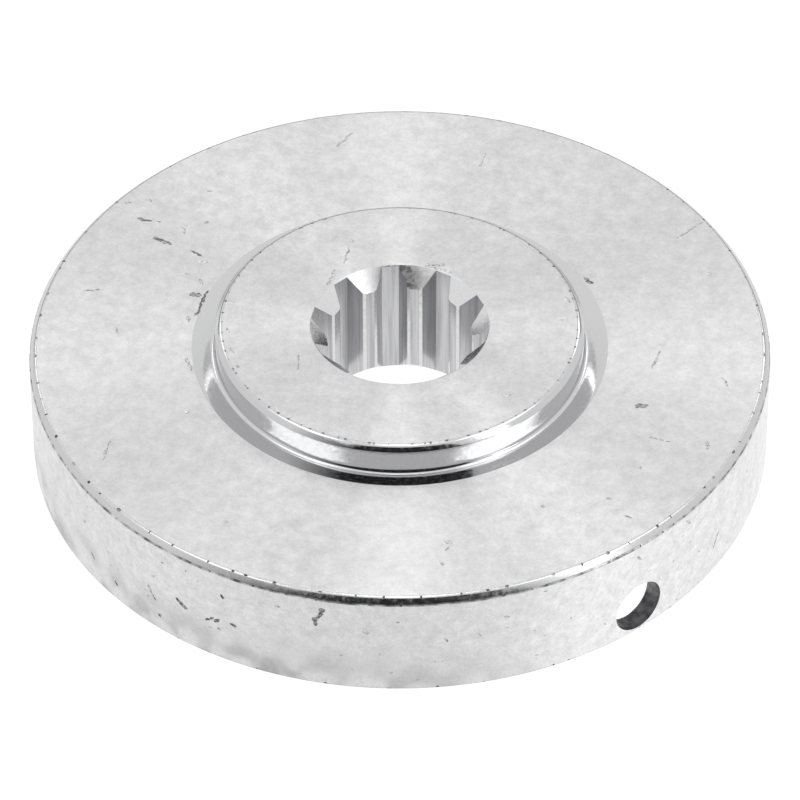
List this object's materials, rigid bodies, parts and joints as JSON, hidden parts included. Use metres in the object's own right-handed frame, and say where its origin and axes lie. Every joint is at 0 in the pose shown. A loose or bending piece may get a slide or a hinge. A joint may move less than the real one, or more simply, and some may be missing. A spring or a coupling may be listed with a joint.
{
  "type": "brush cutter blade flange",
  "caption": "Round turned-steel blade flange for a brush cutter: a shallow cup with a splined hub bore, a low boss that centres the blade, a flat blade seat and a pin hole in its skirt.",
  "frame": {"origin": "middle of the rim's bottom plane, on the bore's axis", "axes": "+Z along the bore's axis, from the hollow side to the blade side"},
  "size_m": [0.05, 0.05, 0.0098],
  "materials": {
    "zinc_plated_steel": "bright zinc-plated turned steel, satin, nicked from handling"
  },
  "bodies": {
    "root": {"blade_flange": "zinc_plated_steel"}
  },
  "joints": []
}
